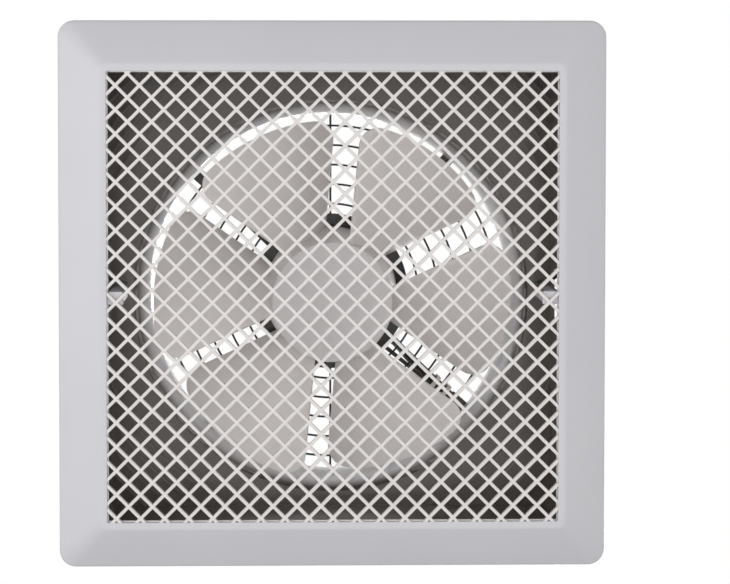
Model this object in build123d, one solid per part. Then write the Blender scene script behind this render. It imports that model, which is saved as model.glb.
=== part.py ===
from build123d import *
import math
import os

# Ceiling exhaust fan of the 250 mm class, with a square lattice cover. Millimetres.
# +Z points up into the ceiling void and the room is below. z = 0 is the ceiling's lower face,
# on which the housing's flange bears. Angles run counter-clockwise as the room sees the fan,
# so a turn by one of them is a turn about -Z.

# Lattice of the grille insert
lattice_pitch = 15.8
lattice_reach = 9.38
lattice_drop = 3.4
bar_width = 2.9
lattice_thickness = 2.8
insert_gap = 0.05
insert_lip_width = 2.8
insert_lip_thickness = 1.6
insert_lip_root = 0.6
smallest_hole_area = 1.5

# Front frame
land_width = 4.8
slope_run = 29.0
skirt_height = 4.0
cover_drop = 20.0
rim_gap = 0.5
frame_wall = 2.2
frame_corner = 11.0
land_corner = 4.0
opening_corner = 0.8
rib_width = 3.0
rib_length = 8.0
rib_inset = 2.0
rib_offset = 100.0
seat_gap = 0.3

# Snap posts of the front frame and the spring clips that grip them
post_length = 10.8
post_width = 8.5
post_shift = 0.75
post_inset = 3.2
post_wall = 1.8
post_top = 14.0
lug_thickness = 2.6
lug_overlap = 3.0
clip_thickness = 0.8
clip_height = 10.0
clip_low = 8.0
clip_tail = 20.0
clip_screw_back = 12.0
clip_bend_gap = 1.5
clip_waist = 4.6
clip_nose_start = 2.4
clip_nose_reach = 0.6
clip_nose_curl = 0.8

# Housing pan, and how far to +Y of the square's middle the fan's axis stands
fan_drop = 6.0
wall_clearance = 3.8
pan_wall = 2.5
pan_corner = 8.0
plate_height = 38.0
plate_thickness = 2.5
plate_skin = 0.8
flange_thickness = 2.5
flange_gap = 1.8
flange_corner = 9.0
flange_hole_radius = 2.25
flange_hole_inset = 12.0
flange_hole_spacing = 240.0
window_low = 4.0
window_high = 34.0
window_near = 14.0
window_far = 21.0
ridge_count = 4
ridge_first = 165.0
ridge_step = 11.0
ridge_width = 2.0
ridge_height = 1.5

# Orifice ring with its bell mouth
throat_radius = 125.0
ring_wall = 2.5
bell_run = 9.0
bell_depth = 20.0
ring_seat_width = 2.3
ring_fit = 0.2
ring_flange_width = 6.8
ring_flange_thickness = 2.4
ring_rear_height = 61.0
rear_lip_width = 11.5
rear_lip_thickness = 2.4

# Screws
small_screw_radius = 1.6
small_head_radius = 3.2
small_head_height = 2.0
slot_breadth = 0.8
screw_fit = 0.1
boss_radius = 4.5
boss_height = 11.0
guard_screw_length = 9.0

# Rear guard
guard_turn = 3.5
wire_diameter = 1.5
spoke_diameter = 1.6
arm_diameter = 3.0
weld_depth = 0.4
wire_lift = 0.3
guard_ring_count = 5
guard_ring_first = 62.0
guard_ring_step = 13.8
spoke_inner = 50.0
arm_inner = 46.0
arm_outer = 124.0
arm_inner_spread = 4.6
arm_outer_spread = 1.7
tab_inner = 113.0
tab_width = 9.0
tab_thickness = 2.0
boss_inset = 4.2
rim_wire_gap = 0.5
disc_radius = 55.0
disc_thickness = 2.0
disc_drop = 0.35
disc_hole_radius = 14.0

# Impeller
blade_count = 6
tip_clearance = 4.0
blade_gap = 17.0
blade_rise = 47.0
blade_centre_height = 32.0
blade_thickness = 2.0
blade_camber = 0.07
blade_overreach = 1.18
blade_root_depth = 4.0
blade_first_angle = 54.8
leading_corner = 13.0
trailing_corner = 12.0
hub_face_height = 2.0
hub_rear_height = 56.0
hub_face_radius = 40.5
hub_rear_radius = 46.5
hub_wall = 2.3
web_height = 26.0
web_thickness = 3.0
boss_outer_radius = 10.0
boss_low = 15.8
boss_high = 53.0
hub_rib_width = 2.0
hub_rib_top = 48.0
cap_thickness = 2.1
cap_skirt_height = 5.0
cap_skirt_wall = 1.7
cap_fit = 0.3

# Shaft and its fastening
shaft_radius = 4.0
thread_radius = 2.9
thread_end = 7.0
nut_flats = 10.0
nut_height = 5.0
washer_radius = 8.0
washer_thickness = 1.2
washer_fit = 0.2
hub_fit = 0.02
pin_radius = 1.5
pin_length = 19.0
pin_slot_fit = 0.1

# Motor
grommet_step = 3.0
motor_radius = 46.0
shell_wall = 1.8
front_shell_depth = 15.4
core_length = 20.0
core_bore_radius = 26.0
rear_shell_depth = 15.4
air_gap = 0.4
bearing_radius = 11.0
bearing_width = 7.0
bearing_fit = 0.03
bearing_groove = 0.6
pocket_wall = 2.0
pocket_end_gap = 0.5
shell_hole_radius = 6.0
slot_count = 12
slot_width = 5.0
slot_inner = 27.5
slot_outer = 37.5
slot_mouth = 2.0
winding_fit = 0.2
winding_height = 7.0
rotor_ring_height = 4.0
rotor_ring_wall = 7.0
vent_count = 8
vent_width = 4.0
vent_length = 14.0
vent_circle = 27.0
bolt_circle = 41.5
bolt_radius = 2.0
bolt_head_radius = 3.6
bolt_head_height = 2.4
bolt_nut_flats = 7.0
bolt_nut_height = 3.2
bolt_overhang = 1.0
grommet_radius = 6.3
grommet_neck_radius = 4.0
grommet_lip = 1.2
fuse_radius = 2.4
fuse_length = 11.0
fuse_angle = 135.0

# Terminal box, at the room view's lower right
box_angle = -45.0
box_inner = 146.0
box_length = 36.0
box_breadth = 50.0
box_height = 37.5
box_wall = 2.0
lid_thickness = 2.0
lid_screw_length = 10.0
post_radius = 3.2
post_sink = 0.6
block_length = 16.0
block_shift = -1.0
block_breadth = 22.0
block_height = 12.0
block_terminals = 3
terminal_spacing = 7.0
terminal_screw_radius = 1.8
terminal_thread_radius = 1.4
terminal_screw_length = 3.0
terminal_head_height = 2.0
terminal_sink = 0.5
wire_hole_radius = 1.5
box_screw_offset = 15.0
earth_offset = 12.0
earth_screw_gap = 0.2
earth_head_height = 3.0
gland_bore_radius = 4.0
gland_neck_radius = 5.9
gland_cap_radius = 7.0
gland_flats = 14.0
gland_hex_share = 0.4
gland_length = 12.0
gland_nut_thickness = 4.0
gland_height = 20.0

# Leads
lead_diameter = 6.0
lead_exit_height = 6.4
lead_first_run = 19.0
lead_fall_run = 15.0
lead_start_inside = 2.0
lead_end_inside = 8.0
lead_arc_share = 0.45
bush_wall = 1.0
bush_lip = 1.5
bush_lip_width = 1.2
bush_lip_gap = 0.4
tie_width = 3.0
tie_thickness = 1.0
tie_places = (97.5, 107.5)
thin_lead_diameter = 4.0
thin_lead_rise = 4.5
thin_lead_inside = 4.0
saddle_length = 7.0
saddle_width = 5.4
saddle_height = 8.0
saddle_spread = 45.0

# Capacitor, at the room view's lower left
capacitor_angle = -135.0
capacitor_inner = 152.0
capacitor_depth = 18.0
capacitor_length = 40.0
capacitor_height = 28.0
capacitor_corner = 2.0
strap_width = 10.0
strap_thickness = 1.0
strap_foot = 12.0
strap_fit = 0.1

# Places worked out from the sizes above
opening_half = lattice_reach * lattice_pitch
land_half = opening_half + land_width
frame_half = land_half + slope_run
face_level = -cover_drop
land_back = face_level + lattice_thickness
rim_level = -rim_gap
skirt_low = rim_level - skirt_height
slope_drop = skirt_low - face_level
slope_ratio = slope_drop / slope_run
slope_wall_height = frame_wall * math.hypot(1, slope_ratio)
inside_half = opening_half + wall_clearance
pan_half = inside_half + pan_wall
flange_half = frame_half - frame_wall - flange_gap
plate_top = plate_height + plate_thickness
ring_lip_radius = throat_radius + bell_run
ring_seat_radius = ring_lip_radius + ring_seat_width
ring_hole_radius = ring_seat_radius + ring_fit
ring_flange_radius = ring_seat_radius + ring_flange_width
ring_flange_top = plate_top + ring_flange_thickness
ring_screw_circle = (ring_hole_radius + ring_flange_radius) / 2
rear_lip_radius = throat_radius + ring_wall + rear_lip_width
boss_circle = rear_lip_radius - boss_inset
rim_radius = boss_circle - small_head_radius - wire_diameter / 2 - rim_wire_gap
wire_level = ring_rear_height + wire_lift + wire_diameter / 2
spoke_level = wire_level + (wire_diameter + spoke_diameter) / 2 - weld_depth
arm_level = wire_level + (wire_diameter + arm_diameter) / 2 - weld_depth
tab_top = ring_rear_height + tab_thickness
disc_low = spoke_level - disc_thickness / 2 - disc_drop
disc_high = disc_low + disc_thickness
tip_radius = throat_radius - tip_clearance
motor_low = disc_high + grommet_step
core_low = motor_low + front_shell_depth
core_high = core_low + core_length
motor_high = core_high + rear_shell_depth
rotor_radius = core_bore_radius - air_gap
front_bearing_low = motor_low + shell_wall
rear_bearing_low = motor_high - shell_wall - bearing_width
shaft_end = motor_high - shell_wall - seat_gap
box_outer = box_inner + box_length
box_middle = box_inner + box_length / 2
box_top = plate_top + box_height
box_floor = plate_top + box_wall
lead_radius = lead_diameter / 2
thin_lead_radius = thin_lead_diameter / 2
lead_level = arm_level + arm_diameter / 2 + seat_gap + lead_radius
lead_exit = core_high + lead_exit_height
post_outer = inside_half - post_inset
post_inner = post_outer - post_length
post_face = post_shift - post_width / 2
capacitor_low = plate_top + seat_gap
capacitor_middle = capacitor_inner + capacitor_depth / 2
quarter_turns = (0.0, 90.0, 180.0, 270.0)
lead_angle = box_angle + guard_turn
guard_angles = [lead_angle + turn for turn in quarter_turns]


def turned(angle, shape):
    """The shape, made along +X, turned counter-clockwise as the room sees it."""
    return Rot(0, 0, -angle) * shape


def square_block(half, corner, low, high):
    """A square prism about the Z axis with rounded upright edges."""
    outline = RectangleRounded(2 * half, 2 * half, corner)
    return extrude(Pos(0, 0, low) * outline, high - low)


def tapered_block(low_half, low_corner, low, high_half, high_corner, high):
    """A square frustum about the Z axis, from one rounded outline to another."""
    ends = [
        Pos(0, 0, low) * RectangleRounded(2 * low_half, 2 * low_half, low_corner),
        Pos(0, 0, high) * RectangleRounded(2 * high_half, 2 * high_half, high_corner),
    ]
    return loft(ends, ruled=True)


def span_block(x_span, y_span, z_span):
    """A box given by its lowest and highest value along each axis."""
    sizes = [high - low for low, high in (x_span, y_span, z_span)]
    middle = [(high + low) / 2 for low, high in (x_span, y_span, z_span)]
    return Pos(*middle) * Box(*sizes)


def disc(radius, low, high):
    """An upright cylinder about the Z axis."""
    return Pos(0, 0, (low + high) / 2) * Cylinder(radius, high - low)


def sleeve(outer, inner, low, high):
    """An upright tube about the Z axis."""
    return disc(outer, low, high) - disc(inner, low - 1, high + 1)


def lathe(*lines):
    """A solid turned about the Z axis from a closed profile of (radius, height) lines."""
    profile = Curve() + list(lines)
    return revolve(make_face(Plane.XZ * profile), Axis.Z)


def turned_profile(*points):
    """A solid turned about the Z axis from straight runs between (radius, height) points."""
    return lathe(Polyline(*points, close=True))


def hexagon(flats, low, high):
    """A hexagonal prism about the Z axis, given across its flats."""
    outline = RegularPolygon(flats / 2, 6, major_radius=False)
    return extrude(Pos(0, 0, low) * outline, high - low)


def screw(shank_radius, length, head_radius, head_height):
    """A screw whose head stands on z = 0 and whose shank hangs below it, with a straight slot."""
    head = disc(head_radius, 0, head_height)
    head = chamfer(head.edges().group_by(Axis.Z)[-1], head_height / 4)
    across = (-slot_breadth / 2, slot_breadth / 2)
    slot = span_block((-head_radius, head_radius), across, (head_height / 2, head_height + 1))
    shank = disc(shank_radius, -length, 0)
    return head + shank - slot


def group(shapes):
    """Several separate solids kept together as one piece of the list."""
    return Compound(children=[solid for shape in shapes for solid in shape.solids()])


def about_fan(shape):
    """The shape, made about the Z axis, moved to where the fan's axis stands."""
    return Pos(0, fan_drop, 0) * shape


def save(name, solids):
    """Write one piece to its own STEP file."""
    whole = solids[0] if len(solids) == 1 else Compound(children=solids)
    export_step(whole, f"parts/{name}.step")


def clipped(points, half, corner):
    """A convex polygon cut back to the square of this half width, with its corners cut off."""
    sides = [(1, 0, half), (-1, 0, half), (0, 1, half), (0, -1, half)]
    sides += [(way_x, way_y, 2 * half - corner) for way_x in (1, -1) for way_y in (1, -1)]
    for way_x, way_y, limit in sides:
        kept = []
        for start, end in zip(points, points[1:] + points[:1]):
            start_out = way_x * start[0] + way_y * start[1] - limit
            end_out = way_x * end[0] + way_y * end[1] - limit
            if start_out <= 0:
                kept.append(start)
            if start_out * end_out < 0:
                share = start_out / (start_out - end_out)
                kept.append(tuple(a + share * (b - a) for a, b in zip(start, end)))
        points = kept
    return points


def polygon_area(points):
    """The area of a polygon given by its corners."""
    pairs = zip(points, points[1:] + points[:1])
    return abs(sum(a[0] * b[1] - b[0] * a[1] for a, b in pairs)) / 2


def lattice_holes():
    """The corner lists of the lattice's holes: diamonds, cut off where the opening ends.

    The lattice's middle crossing lies a little to +Y of the opening's centre.
    """
    half_diagonal = lattice_pitch / 2 - bar_width / math.sqrt(2)
    last = int(2 * lattice_reach) + 1
    holes = []
    for column in range(-last, last + 1):
        for row in range(-last, last + 1):
            if (column + row) % 2 == 0:
                continue
            x = column * lattice_pitch / 2
            y = row * lattice_pitch / 2 + lattice_drop
            corners = [
                (x + half_diagonal, y),
                (x, y + half_diagonal),
                (x - half_diagonal, y),
                (x, y - half_diagonal),
            ]
            corners = clipped(corners, opening_half - 2 * insert_gap, opening_corner)
            if len(corners) > 2 and polygon_area(corners) > smallest_hole_area:
                holes.append(corners)
    return holes


def grille_insert():
    """The lattice, cut from one sheet, with a lip behind the frame's land."""
    half = opening_half - insert_gap
    outline = RectangleRounded(2 * half, 2 * half, opening_corner).face().outer_wire()
    holes = [Wire.make_polygon([(x, y, 0) for x, y in hole]) for hole in lattice_holes()]
    sheet = extrude(Pos(0, 0, face_level) * Face(outline, holes), lattice_thickness)
    lip_outer = half + insert_lip_width
    lip_inner = half - insert_lip_root
    lip_top = land_back + insert_lip_thickness
    lip = square_block(lip_outer, opening_corner, land_back, lip_top)
    lip -= square_block(lip_inner, opening_corner, land_back - 1, lip_top + 1)
    for side in (1, -1):
        notch = (post_shift - post_width / 2 - seat_gap, post_shift + post_width / 2 + seat_gap)
        ends = sorted((side * lip_inner - side, side * (lip_outer + 1)))
        lip -= span_block(ends, notch, (land_back - 1, lip_top + 1))
    return sheet + lip


def snap_post(side):
    """A hollow square post on a lug behind the land, at the middle of one side of the frame."""
    across = (post_shift - post_width / 2, post_shift + post_width / 2)
    lug_low = land_back + seat_gap
    lug_high = lug_low + lug_thickness
    lug_end = opening_half + lug_overlap
    lug = span_block(sorted((side * post_inner, side * lug_end)), across, (lug_low, lug_high))
    root = sorted((side * (opening_half + 2 * insert_gap), side * lug_end))
    lug += span_block(root, across, (land_back, lug_high))
    middle = side * (post_inner + post_outer) / 2
    post = Pos(middle, post_shift, (lug_high + post_top) / 2 - 0.5) * Box(
        post_length, post_width, post_top - lug_high + 1)
    hollow = Pos(middle, post_shift, (lug_high + post_top) / 2 + 1) * Box(
        post_length - 2 * post_wall, post_width - 2 * post_wall, post_top - lug_high)
    return lug + post - hollow


def front_frame():
    """The sloping square surround with its skirt, support ribs and snap posts."""
    outside = tapered_block(land_half, land_corner, face_level, frame_half, frame_corner, skirt_low)
    outside += square_block(frame_half, frame_corner, skirt_low, rim_level)
    inner_half = frame_half - frame_wall
    inner_corner = frame_corner - frame_wall
    inner_high = skirt_low + slope_wall_height - frame_wall * slope_ratio
    land_inner = inner_half - (inner_high - land_back) / slope_ratio
    inside = tapered_block(land_inner, land_corner, land_back, inner_half, inner_corner, inner_high)
    inside += square_block(inner_half, inner_corner, inner_high, rim_level + 1)
    shell = outside - inside
    shell -= square_block(opening_half, opening_corner, face_level - 1, land_back + 1)
    rib_end = flange_half - rib_inset
    rib_top = -flange_thickness - seat_gap
    for angle in quarter_turns:
        for offset in (rib_offset, -rib_offset):
            across = (offset - rib_width / 2, offset + rib_width / 2)
            rib = span_block((rib_end - rib_length, rib_end), across, (face_level, rib_top))
            shell += turned(angle, rib) & outside
    for side in (1, -1):
        shell += snap_post(side)
    return shell


def flange_hole_places():
    """The four ceiling screws' places on the flange."""
    across = flange_half - flange_hole_inset
    along = flange_hole_spacing / 2
    return [(x, y) for x in (-across, across) for y in (-along, along)]


def capacitor_screw_place():
    return capacitor_inner + capacitor_depth + strap_thickness + strap_foot / 2


def clip_screw_place():
    """Where a clip's screw goes through the side wall: its Y and its height."""
    return -(window_near + clip_screw_back), clip_low + clip_height / 2


def housing_pan():
    """The square pan: flange, four walls and the plate that carries the orifice ring."""
    inner_corner = pan_corner - pan_wall
    low = -flange_thickness
    pan = square_block(pan_half, pan_corner, low, plate_top)
    pan += square_block(flange_half, flange_corner, low, 0)
    pan -= square_block(inside_half, inner_corner, low - 1, plate_height)
    for step in range(ridge_count):
        inner = ridge_first + step * ridge_step
        ridge = sleeve(inner + ridge_width, inner, plate_height - ridge_height, plate_height + 1)
        pan += ridge & square_block(inside_half + 1, inner_corner, plate_height - 5, plate_top)
    pan -= about_fan(disc(ring_hole_radius, plate_height - 5, plate_top + 1))
    for side in (1, -1):
        ends = sorted((side * (inside_half - 1), side * (pan_half + 1)))
        pan -= span_block(ends, (-window_near, window_far), (window_low, window_high))
        along, height = clip_screw_place()
        hole = Rot(0, 90, 0) * Cylinder(small_screw_radius + screw_fit, 4 * pan_wall)
        pan -= Pos(side * (inside_half + pan_wall / 2), along, height) * hole
    for x, y in flange_hole_places():
        pan -= Pos(x, y, -flange_thickness / 2) * Cylinder(flange_hole_radius, 3 * flange_thickness)
    plate_hole = disc(small_screw_radius + screw_fit, plate_height + plate_skin, plate_top + 1)
    for angle in quarter_turns:
        pan -= about_fan(turned(angle, Pos(ring_screw_circle, 0, 0) * plate_hole))
    for offset in (box_screw_offset, -box_screw_offset):
        pan -= about_fan(turned(box_angle, Pos(box_middle, offset, 0) * plate_hole))
    pan -= about_fan(turned(capacitor_angle, Pos(capacitor_screw_place(), 0, 0) * plate_hole))
    return pan


def orifice_ring():
    """The bell mouth, throat and rear lip, with bosses for the guard's screws."""
    bell_radius = (bell_run ** 2 + bell_depth ** 2) / (2 * bell_run)
    bell_top = plate_height + bell_depth
    bell_centre = throat_radius + bell_radius
    back_radius = throat_radius + ring_wall

    def bell_point(radius, height):
        turn = math.asin((bell_top - height) / radius)
        return bell_centre - radius * math.cos(turn), height

    def bell_arc(radius, low, high):
        middle = bell_point(radius, (low + high) / 2)
        return ThreePointArc(bell_point(radius, low), middle, bell_point(radius, high))

    ring = lathe(
        bell_arc(bell_radius, plate_height, bell_top),
        Polyline(
            (ring_lip_radius, plate_height),
            (ring_seat_radius, plate_height),
            (ring_seat_radius, plate_top),
            (ring_flange_radius, plate_top),
            (ring_flange_radius, ring_flange_top),
            bell_point(bell_radius - ring_wall, ring_flange_top),
        ),
        bell_arc(bell_radius - ring_wall, ring_flange_top, bell_top),
        Polyline(
            (back_radius, bell_top),
            (back_radius, ring_rear_height - rear_lip_thickness),
            (rear_lip_radius, ring_rear_height - rear_lip_thickness),
            (rear_lip_radius, ring_rear_height),
            (throat_radius, ring_rear_height),
            (throat_radius, bell_top),
        ),
    )
    pilot = disc(small_screw_radius + screw_fit, ring_rear_height - boss_height, ring_rear_height + 1)
    boss = disc(boss_radius, ring_rear_height - boss_height, ring_rear_height)
    for angle in guard_angles:
        ring += turned(angle, Pos(boss_circle, 0, 0) * boss)
    for angle in guard_angles:
        ring -= turned(angle, Pos(boss_circle, 0, 0) * pilot)
    flange_hole = disc(small_screw_radius + screw_fit, plate_top - 1, ring_flange_top + 1)
    for angle in quarter_turns:
        ring -= turned(angle, Pos(ring_screw_circle, 0, 0) * flange_hole)
    return ring - disc(throat_radius, plate_height - 1, ring_rear_height + 1)


def ring_screws():
    """Four screws from the void side, through the ring's flange and into the plate."""
    length = ring_flange_top - plate_height - plate_skin
    one = screw(small_screw_radius, length, small_head_radius, small_head_height)
    place = Pos(ring_screw_circle, 0, ring_flange_top)
    return group([turned(angle, place * one) for angle in quarter_turns])


def rear_guard():
    """The welded wire guard: rings, thin spokes, hairpin arms, end tabs and the motor's disc."""
    guard = disc(disc_radius, disc_low, disc_high) - disc(disc_hole_radius, disc_low - 1, disc_high + 1)
    spoke_length = rim_radius - spoke_inner
    bars = []
    for angle in quarter_turns:
        spoke = Rot(0, 90, 0) * Rot(0, 0, 90) * Cylinder(spoke_diameter / 2, spoke_length)
        bars.append(turned(angle, Pos(spoke_inner + spoke_length / 2, 0, spoke_level) * spoke))
    for angle in guard_angles:
        tab = span_block((tab_inner, boss_circle + tab_width / 2), (-tab_width / 2, tab_width / 2),
                         (ring_rear_height, tab_top))
        bars.append(turned(angle, tab))
        for side in (1, -1):
            start = Vector(arm_inner, side * arm_inner_spread, arm_level)
            end = Vector(arm_outer, side * arm_outer_spread, arm_level)
            reach = end - start
            plane = Plane(origin=start, z_dir=reach)
            rod = extrude(plane * Circle(arm_diameter / 2), reach.length)
            bars.append(turned(angle, rod))
    guard = guard + bars
    radii = [guard_ring_first + step * guard_ring_step for step in range(guard_ring_count)]
    rings = [Torus(radius, wire_diameter / 2) for radius in radii + [rim_radius]]
    guard = guard + [Pos(0, 0, wire_level) * ring for ring in rings]
    tab_hole = disc(small_screw_radius + screw_fit, ring_rear_height - 5, disc_high + 5)
    neck = disc(grommet_neck_radius, disc_low - 1, disc_high + 1)
    for angle in guard_angles:
        guard -= turned(angle, Pos(boss_circle, 0, 0) * tab_hole)
    for angle in quarter_turns:
        guard -= turned(angle, Pos(bolt_circle, 0, 0) * neck)
    return guard


def guard_screws():
    """Four screws through the guard's tabs into the ring's bosses."""
    one = screw(small_screw_radius, guard_screw_length, small_head_radius, small_head_height)
    place = Pos(boss_circle, 0, tab_top)
    return group([turned(angle, place * one) for angle in guard_angles])


def spring_clip(side):
    """A bent strip screwed to the outside of a side wall, whose nose grips the snap post."""
    line = pan_half + clip_thickness / 2
    nose = post_face - seat_gap - clip_thickness / 2
    points = [
        (line, -(window_near + clip_tail)),
        (line, -window_near + 2 * clip_thickness),
        (inside_half - clip_bend_gap, nose - clip_waist),
        (post_inner + clip_nose_start, nose - 2.5 * clip_nose_curl),
        (post_inner + clip_nose_reach, nose - clip_nose_curl),
        (post_inner + clip_nose_reach + clip_nose_curl, nose),
    ]
    strip = trace(Polyline(*[(side * x, y) for x, y in points]), line_width=clip_thickness)
    clip = extrude(Pos(0, 0, clip_low) * strip, clip_height)
    along, height = clip_screw_place()
    hole = Rot(0, 90, 0) * Cylinder(small_screw_radius + screw_fit, 4 * clip_thickness)
    return clip - Pos(side * line, along, height) * hole


def clip_screws():
    """One screw for each spring clip, through the side wall from outside."""
    length = pan_wall + clip_thickness
    one = screw(small_screw_radius, length, small_head_radius, small_head_height)
    along, height = clip_screw_place()
    seat = pan_half + clip_thickness
    right = Pos(seat, along, height) * Rot(0, 90, 0) * one
    left = Pos(-seat, along, height) * Rot(0, -90, 0) * one
    return group([right, left])


def hub_radius(height):
    """The hub's outer radius at a height, between its room face and its rear edge."""
    share = (height - hub_face_height) / (hub_rear_height - hub_face_height)
    return hub_face_radius + share * (hub_rear_radius - hub_face_radius)


def blade_half_chord(reach):
    """Half the blade's breadth, square to its middle line, this far from the axis."""
    half_share = math.radians(180 / blade_count)
    return reach * math.tan(half_share) - blade_gap / 2 / math.cos(half_share)


def blade_section(reach):
    """The blade's curved section in the plane square to its middle line, this far out."""
    half_chord = blade_overreach * blade_half_chord(reach)
    half_rise = blade_overreach * blade_rise / 2
    length = math.hypot(half_chord, half_rise)
    normal_y = half_rise / length
    normal_z = -half_chord / length
    sag = blade_camber * 2 * length

    def point(share, side):
        bulge = sag * (1 - share ** 2) + side * blade_thickness / 2
        y = share * half_chord + bulge * normal_y
        z = blade_centre_height + share * half_rise + bulge * normal_z
        return (reach, y, z)

    edges = [
        ThreePointArc(point(-1, 1), point(0, 1), point(1, 1)),
        Line(point(1, 1), point(1, -1)),
        ThreePointArc(point(1, -1), point(0, -1), point(-1, -1)),
        Line(point(-1, -1), point(-1, 1)),
    ]
    return make_face(Curve() + edges)


def blade_outline():
    """The blade as the room sees it: two straight edges, the tip's arc and rounded corners."""
    half_share = math.radians(180 / blade_count)
    apex = blade_gap / 2 / math.sin(half_share)
    far = 2 * tip_radius
    wedge = Polygon(
        (apex, 0),
        (apex + far * math.cos(half_share), far * math.sin(half_share)),
        (apex + far * math.cos(half_share), -far * math.sin(half_share)),
        align=None,
    )
    outline = wedge & Circle(tip_radius)
    corners = outline.vertices().sort_by(Axis.X)[-2:].sort_by(Axis.Y)
    outline = fillet(corners[0], leading_corner)
    corner = outline.vertices().filter_by(lambda v: v.Y > tip_radius / 4).sort_by(Axis.Y)[-1]
    return fillet(corner, trailing_corner)


def blade():
    """One pitched blade along +X: its leading edge, at -Y, is the one nearer the room."""
    first = hub_face_radius - blade_root_depth
    last = tip_radius + tip_clearance
    reaches = [first + share * (last - first) for share in (0, 0.3, 0.6, 1)]
    sheet = loft([blade_section(reach) for reach in reaches])
    cutter = extrude(Pos(0, 0, -cover_drop) * blade_outline(), 6 * cover_drop, dir=(0, 0, 1))
    return sheet & cutter


def impeller():
    """The moulded impeller: hub cup, inner boss with web and ribs, and the blades."""
    cap_seat = hub_face_height + cap_thickness
    hub = turned_profile((0, cap_seat), (hub_radius(cap_seat), cap_seat),
                         (hub_rear_radius, hub_rear_height), (0, hub_rear_height))
    first = blade()
    angles = [blade_first_angle + step * 360 / blade_count for step in range(blade_count)]
    wheel = hub + [turned(angle, first) for angle in angles]
    below = hub_radius(cap_seat) - hub_wall
    above = hub_rear_radius - hub_wall
    web_top = web_height + web_thickness

    def inner_radius(height):
        return hub_radius(height) - hub_wall

    wheel -= turned_profile((0, cap_seat - 1), (below, cap_seat - 1),
                            (inner_radius(web_height), web_height), (0, web_height))
    wheel -= turned_profile((0, web_top), (inner_radius(web_top), web_top),
                            (above, hub_rear_height + 1), (0, hub_rear_height + 1))
    ribs = []
    for step in range(blade_count):
        rib = span_block((0, inner_radius(web_top) + hub_wall / 2),
                         (-hub_rib_width / 2, hub_rib_width / 2), (web_top - 1, hub_rib_top))
        ribs.append(turned(blade_first_angle + step * 360 / blade_count, rib))
    wheel = wheel + [disc(boss_outer_radius, boss_low, boss_high)] + ribs
    wheel -= disc(shaft_radius + hub_fit, boss_low - 1, boss_high + 1)
    slot_half = pin_radius + pin_slot_fit
    slot_low = boss_high - 2 * slot_half
    wheel -= span_block((-boss_outer_radius - 1, boss_outer_radius + 1), (-slot_half, slot_half),
                        (slot_low, boss_high + 1))
    return wheel


def hub_cap():
    """The plain closed face of the hub, with a skirt that presses into the cup."""
    seat = hub_face_height + cap_thickness
    cap = disc(hub_face_radius, hub_face_height, seat)
    cap = fillet(cap.edges().group_by(Axis.Z)[0], cap_thickness / 2)
    outer = hub_radius(seat) - hub_wall - cap_fit
    return cap + sleeve(outer, outer - cap_skirt_wall, seat - 0.5, seat + cap_skirt_height)


def impeller_washer():
    return sleeve(washer_radius, thread_radius + washer_fit, boss_low - washer_thickness, boss_low)


def impeller_nut():
    """The nut on the shaft's threaded end, under the hub cap."""
    high = boss_low - washer_thickness
    return hexagon(nut_flats, high - nut_height, high) - disc(thread_radius, 0, high + 1)


def pin_height():
    """The drive pin's height, in the slot at the rear of the impeller's boss."""
    return boss_high - pin_radius - pin_slot_fit


def motor_shaft():
    """The steel shaft, with a thinner threaded end and a cross hole for the drive pin."""
    shaft = disc(shaft_radius, boss_low, shaft_end) + disc(thread_radius, thread_end, boss_low + 1)
    return shaft - Pos(0, 0, pin_height()) * Rot(0, 90, 0) * Cylinder(pin_radius, pin_length)


def drive_pin():
    return Pos(0, 0, pin_height()) * Rot(0, 90, 0) * Cylinder(pin_radius, pin_length)


def rotor():
    """The squirrel-cage rotor with its two end rings."""
    stack = disc(rotor_radius, core_low, core_high)
    for low, high in ((core_low - rotor_ring_height, core_low + 1),
                      (core_high - 1, core_high + rotor_ring_height)):
        stack += sleeve(rotor_radius, rotor_radius - rotor_ring_wall, low, high)
    return stack - disc(shaft_radius, core_low - 10, core_high + 10)


def bearing(low):
    """A ball bearing, kept whole, with the grooves that part its two rings."""
    ring = sleeve(bearing_radius, shaft_radius + bearing_fit, low, low + bearing_width)
    inner = shaft_radius + 0.35 * (bearing_radius - shaft_radius)
    outer = shaft_radius + 0.65 * (bearing_radius - shaft_radius)
    for face in (low, low + bearing_width):
        ring -= sleeve(outer, inner, face - bearing_groove, face + bearing_groove)
    return ring


def bolt_holes(radius):
    """The four long bolts' holes, as cutters through the whole motor."""
    cutter = disc(radius, disc_low - 20, motor_high + 20)
    return [turned(angle, Pos(bolt_circle, 0, 0) * cutter) for angle in quarter_turns]


def motor_front_shell():
    """The drawn shell on the guard's side, with the front bearing's pocket."""
    wall_inner = motor_radius - shell_wall
    plate_high = motor_low + shell_wall
    pocket_top = plate_high + bearing_width + pocket_end_gap
    shell = turned_profile(
        (shell_hole_radius, motor_low), (motor_radius, motor_low), (motor_radius, core_low),
        (wall_inner, core_low), (wall_inner, plate_high), (bearing_radius + pocket_wall, plate_high),
        (bearing_radius + pocket_wall, pocket_top), (bearing_radius, pocket_top),
        (bearing_radius, plate_high), (shell_hole_radius, plate_high))
    shell = fillet(shell.edges().filter_by(GeomType.CIRCLE).sort_by(SortBy.RADIUS).group_by(
        Axis.Z)[0].sort_by(SortBy.RADIUS)[-1], shell_wall)
    for hole in bolt_holes(bolt_radius + screw_fit):
        shell -= hole
    return shell


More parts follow.
